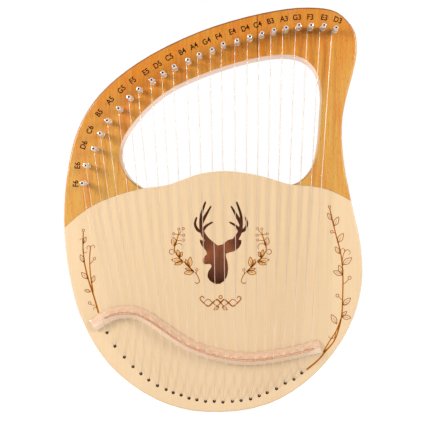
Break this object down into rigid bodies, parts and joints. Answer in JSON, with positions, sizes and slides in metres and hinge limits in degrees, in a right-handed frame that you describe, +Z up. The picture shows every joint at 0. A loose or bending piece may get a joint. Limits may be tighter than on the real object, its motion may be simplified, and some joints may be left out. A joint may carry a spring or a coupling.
{
  "type": "lyre harp",
  "caption": "Wooden lyre harp with a window under its yoke, a hollow sound box, an S-shaped bridge, turning pins along the yoke and steel strings down to the bottom edge.",
  "frame": {"origin": "on the back face, in the middle of the body across and in height", "axes": "+Z up along the strings towards the yoke, -Y out of the front where the strings are, +Y out of the back, +X to the bass side, on the right when seen from the front"},
  "size_m": [0.3791, 0.046, 0.5142],
  "materials": {
    "stained_wood": "honey-stained open-grained hardwood under a gloss lacquer",
    "spruce_top": "pale fine straight grain under a satin lacquer, with burnt line decoration",
    "inner_wood": "bare planed wood",
    "bridge_maple": "pale close-grained hardwood, satin",
    "saddle_strip": "polished bone-coloured strip",
    "chrome_pin": "nickel plated steel, polished",
    "plain_string": "bright drawn music wire",
    "wound_string": "close-wound wire on a steel core"
  },
  "bodies": {
    "root": {"frame_left": "stained_wood", "frame_right": "stained_wood", "back_board": "stained_wood", "soundboard": "spruce_top", "chamber_rail": "inner_wood", "tail_block": "inner_wood", "bridge_plate": "inner_wood", "upper_brace": "inner_wood", "lower_brace": "inner_wood", "back_brace": "inner_wood", "bridge": "bridge_maple", "saddle": "saddle_strip", "string_f6": "plain_string", "string_e6": "plain_string", "string_d6": "plain_string", "string_c6": "plain_string", "string_b5": "plain_string", "string_a5": "plain_string", "string_g5": "plain_string", "string_f5": "plain_string", "string_e5": "plain_string", "string_d5": "plain_string", "string_c5": "plain_string", "string_b4": "plain_string", "string_a4": "wound_string", "string_g4": "wound_string", "string_f4": "wound_string", "string_e4": "wound_string", "string_d4": "wound_string", "string_c4": "wound_string", "string_b3": "wound_string", "string_a3": "wound_string", "string_g3": "wound_string", "string_f3": "wound_string", "string_e3": "wound_string", "string_d3": "wound_string"},
    "pin_f6": {"pin_f6": "chrome_pin"},
    "pin_e6": {"pin_e6": "chrome_pin"},
    "pin_d6": {"pin_d6": "chrome_pin"},
    "pin_c6": {"pin_c6": "chrome_pin"},
    "pin_b5": {"pin_b5": "chrome_pin"},
    "pin_a5": {"pin_a5": "chrome_pin"},
    "pin_g5": {"pin_g5": "chrome_pin"},
    "pin_f5": {"pin_f5": "chrome_pin"},
    "pin_e5": {"pin_e5": "chrome_pin"},
    "pin_d5": {"pin_d5": "chrome_pin"},
    "pin_c5": {"pin_c5": "chrome_pin"},
    "pin_b4": {"pin_b4": "chrome_pin"},
    "pin_a4": {"pin_a4": "chrome_pin"},
    "pin_g4": {"pin_g4": "chrome_pin"},
    "pin_f4": {"pin_f4": "chrome_pin"},
    "pin_e4": {"pin_e4": "chrome_pin"},
    "pin_d4": {"pin_d4": "chrome_pin"},
    "pin_c4": {"pin_c4": "chrome_pin"},
    "pin_b3": {"pin_b3": "chrome_pin"},
    "pin_a3": {"pin_a3": "chrome_pin"},
    "pin_g3": {"pin_g3": "chrome_pin"},
    "pin_f3": {"pin_f3": "chrome_pin"},
    "pin_e3": {"pin_e3": "chrome_pin"},
    "pin_d3": {"pin_d3": "chrome_pin"}
  },
  "joints": [
    {"name": "pin_f6_turn", "type": "hinge", "parent": "root", "child": "pin_f6", "pos_m": [-0.162, -0.025, 0.033], "axis": [0, 1, 0], "range_deg": [-90, 30]},
    {"name": "pin_e6_turn", "type": "hinge", "parent": "root", "child": "pin_e6", "pos_m": [-0.158, -0.025, 0.055], "axis": [0, 1, 0], "range_deg": [-90, 30]},
    {"name": "pin_d6_turn", "type": "hinge", "parent": "root", "child": "pin_d6", "pos_m": [-0.148, -0.025, 0.076], "axis": [0, 1, 0], "range_deg": [-90, 30]},
    {"name": "pin_c6_turn", "type": "hinge", "parent": "root", "child": "pin_c6", "pos_m": [-0.14, -0.025, 0.095], "axis": [0, 1, 0], "range_deg": [-90, 30]},
    {"name": "pin_b5_turn", "type": "hinge", "parent": "root", "child": "pin_b5", "pos_m": [-0.131, -0.025, 0.111], "axis": [0, 1, 0], "range_deg": [-90, 30]},
    {"name": "pin_a5_turn", "type": "hinge", "parent": "root", "child": "pin_a5", "pos_m": [-0.117, -0.025, 0.126], "axis": [0, 1, 0], "range_deg": [-90, 30]},
    {"name": "pin_g5_turn", "type": "hinge", "parent": "root", "child": "pin_g5", "pos_m": [-0.104, -0.025, 0.14], "axis": [0, 1, 0], "range_deg": [-90, 30]},
    {"name": "pin_f5_turn", "type": "hinge", "parent": "root", "child": "pin_f5", "pos_m": [-0.092, -0.025, 0.15], "axis": [0, 1, 0], "range_deg": [-90, 30]},
    {"name": "pin_e5_turn", "type": "hinge", "parent": "root", "child": "pin_e5", "pos_m": [-0.076, -0.025, 0.161], "axis": [0, 1, 0], "range_deg": [-90, 30]},
    {"name": "pin_d5_turn", "type": "hinge", "parent": "root", "child": "pin_d5", "pos_m": [-0.062, -0.025, 0.17], "axis": [0, 1, 0], "range_deg": [-90, 30]},
    {"name": "pin_c5_turn", "type": "hinge", "parent": "root", "child": "pin_c5", "pos_m": [-0.048, -0.025, 0.178], "axis": [0, 1, 0], "range_deg": [-90, 30]},
    {"name": "pin_b4_turn", "type": "hinge", "parent": "root", "child": "pin_b4", "pos_m": [-0.031, -0.025, 0.186], "axis": [0, 1, 0], "range_deg": [-90, 30]},
    {"name": "pin_a4_turn", "type": "hinge", "parent": "root", "child": "pin_a4", "pos_m": [-0.017, -0.025, 0.193], "axis": [0, 1, 0], "range_deg": [-90, 30]},
    {"name": "pin_g4_turn", "type": "hinge", "parent": "root", "child": "pin_g4", "pos_m": [-0.001, -0.025, 0.199], "axis": [0, 1, 0], "range_deg": [-90, 30]},
    {"name": "pin_f4_turn", "type": "hinge", "parent": "root", "child": "pin_f4", "pos_m": [0.013, -0.025, 0.206], "axis": [0, 1, 0], "range_deg": [-90, 30]},
    {"name": "pin_e4_turn", "type": "hinge", "parent": "root", "child": "pin_e4", "pos_m": [0.03, -0.025, 0.21], "axis": [0, 1, 0], "range_deg": [-90, 30]},
    {"name": "pin_d4_turn", "type": "hinge", "parent": "root", "child": "pin_d4", "pos_m": [0.046, -0.025, 0.215], "axis": [0, 1, 0], "range_deg": [-90, 30]},
    {"name": "pin_c4_turn", "type": "hinge", "parent": "root", "child": "pin_c4", "pos_m": [0.061, -0.025, 0.219], "axis": [0, 1, 0], "range_deg": [-90, 30]},
    {"name": "pin_b3_turn", "type": "hinge", "parent": "root", "child": "pin_b3", "pos_m": [0.076, -0.025, 0.223], "axis": [0, 1, 0], "range_deg": [-90, 30]},
    {"name": "pin_a3_turn", "type": "hinge", "parent": "root", "child": "pin_a3", "pos_m": [0.091, -0.025, 0.226], "axis": [0, 1, 0], "range_deg": [-90, 30]},
    {"name": "pin_g3_turn", "type": "hinge", "parent": "root", "child": "pin_g3", "pos_m": [0.107, -0.025, 0.229], "axis": [0, 1, 0], "range_deg": [-90, 30]},
    {"name": "pin_f3_turn", "type": "hinge", "parent": "root", "child": "pin_f3", "pos_m": [0.122, -0.025, 0.229], "axis": [0, 1, 0], "range_deg": [-90, 30]},
    {"name": "pin_e3_turn", "type": "hinge", "parent": "root", "child": "pin_e3", "pos_m": [0.138, -0.025, 0.229], "axis": [0, 1, 0], "range_deg": [-90, 30]},
    {"name": "pin_d3_turn", "type": "hinge", "parent": "root", "child": "pin_d3", "pos_m": [0.153, -0.025, 0.226], "axis": [0, 1, 0], "range_deg": [-90, 30]}
  ]
}
